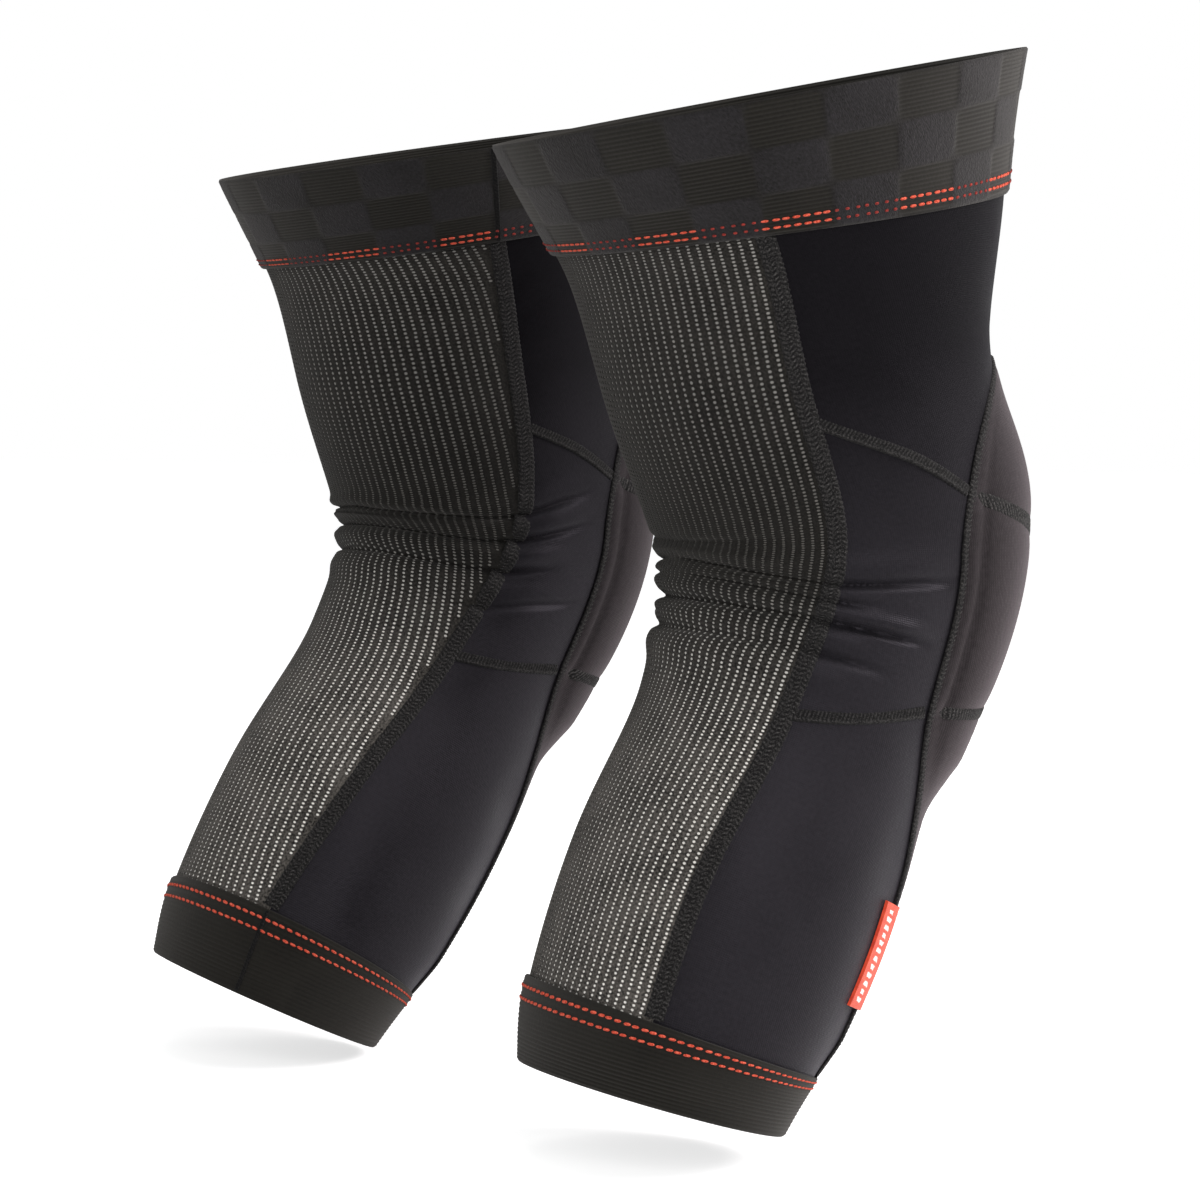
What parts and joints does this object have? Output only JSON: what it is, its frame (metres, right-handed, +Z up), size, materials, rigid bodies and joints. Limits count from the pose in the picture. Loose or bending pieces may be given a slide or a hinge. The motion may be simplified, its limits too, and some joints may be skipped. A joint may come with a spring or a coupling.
{
  "type": "knee guard pair",
  "caption": "Pair of black pull-on knee guards: elastic sleeves with a mesh back, checked thigh cuff, ribbed calf cuff and soft pads over the knee cap.",
  "frame": {"origin": "on the floor under the middle of the pair", "axes": "+Z up, knees facing -Y, wearer's right guard on -X and left guard on +X"},
  "size_m": [0.4554, 0.2262, 0.4095],
  "materials": {
    "stretch_fabric": "smooth stretch knit, soft sheen",
    "air_mesh": "perforated knit mesh, matt",
    "pad_cover": "brushed abrasion cloth, matt",
    "elastic_cuff": "jacquard elastic, plush and ribbed",
    "seam_thread": "flat sewn seam",
    "foam": "closed cell impact foam, matt",
    "silicone": "silicone grip bands, satin",
    "label": "woven label, satin"
  },
  "bodies": {
    "right_thigh": {"right_thigh_cuff": "elastic_cuff", "right_thigh_gripper": "silicone", "right_thigh_panel": "stretch_fabric", "right_mesh_panel": "air_mesh", "right_cover_thigh": "pad_cover", "right_cover_knee": "pad_cover", "right_pad_thigh": "foam", "right_pad_knee": "foam", "right_pocket_lining": "stretch_fabric", "right_knee_side_outer": "stretch_fabric", "right_knee_side_inner": "stretch_fabric", "right_back_seam_outer": "seam_thread", "right_back_seam_inner": "seam_thread", "right_front_seam_outer": "seam_thread", "right_front_seam_inner": "seam_thread", "right_diagonal_seam_outer": "seam_thread", "right_diagonal_seam_inner": "seam_thread", "right_knee_seam": "seam_thread"},
    "right_calf": {"right_cover_shin": "pad_cover", "right_pad_shin": "foam", "right_calf_side_outer": "stretch_fabric", "right_calf_side_inner": "stretch_fabric", "right_calf_cuff": "elastic_cuff", "right_calf_gripper": "silicone", "right_label_tab": "label", "right_lower_seam_outer": "seam_thread", "right_lower_seam_inner": "seam_thread", "right_shin_seam": "seam_thread"},
    "left_thigh": {"left_thigh_cuff": "elastic_cuff", "left_thigh_gripper": "silicone", "left_thigh_panel": "stretch_fabric", "left_mesh_panel": "air_mesh", "left_cover_thigh": "pad_cover", "left_cover_knee": "pad_cover", "left_pad_thigh": "foam", "left_pad_knee": "foam", "left_pocket_lining": "stretch_fabric", "left_knee_side_outer": "stretch_fabric", "left_knee_side_inner": "stretch_fabric", "left_back_seam_outer": "seam_thread", "left_back_seam_inner": "seam_thread", "left_front_seam_outer": "seam_thread", "left_front_seam_inner": "seam_thread", "left_diagonal_seam_outer": "seam_thread", "left_diagonal_seam_inner": "seam_thread", "left_knee_seam": "seam_thread"},
    "left_calf": {"left_cover_shin": "pad_cover", "left_pad_shin": "foam", "left_calf_side_outer": "stretch_fabric", "left_calf_side_inner": "stretch_fabric", "left_calf_cuff": "elastic_cuff", "left_calf_gripper": "silicone", "left_label_tab": "label", "left_lower_seam_outer": "seam_thread", "left_lower_seam_inner": "seam_thread", "left_shin_seam": "seam_thread"}
  },
  "joints": [
    {"name": "right_knee_bend", "type": "hinge", "parent": "right_thigh", "child": "right_calf", "pos_m": [-0.13381, -0.04028, 0.22501], "axis": [0.991, -0.134, 0], "range_deg": [-34, 80], "stiffness_Nm_per_rad": 0.4, "deforming": ["right_mesh_panel", "right_cover_thigh", "right_cover_knee", "right_pad_knee", "right_pocket_lining", "right_knee_side_outer", "right_knee_side_inner", "right_back_seam_outer", "right_back_seam_inner", "right_front_seam_outer", "right_front_seam_inner", "right_diagonal_seam_outer", "right_diagonal_seam_inner", "right_knee_seam"]},
    {"name": "left_knee_bend", "type": "hinge", "parent": "left_thigh", "child": "left_calf", "pos_m": [0.13019, -0.04028, 0.22501], "axis": [0.9989, 0.0471, 0], "range_deg": [-45, 70], "stiffness_Nm_per_rad": 0.4, "deforming": ["left_mesh_panel", "left_cover_thigh", "left_cover_knee", "left_pad_knee", "left_pocket_lining", "left_knee_side_outer", "left_knee_side_inner", "left_back_seam_outer", "left_back_seam_inner", "left_front_seam_outer", "left_front_seam_inner", "left_diagonal_seam_outer", "left_diagonal_seam_inner", "left_knee_seam"]},
    {"name": "guard_spacing", "type": "slide", "parent": "right_thigh", "child": "left_thigh", "axis": [1, 0, 0], "range_m": [-0.04, 0.15]}
  ]
}
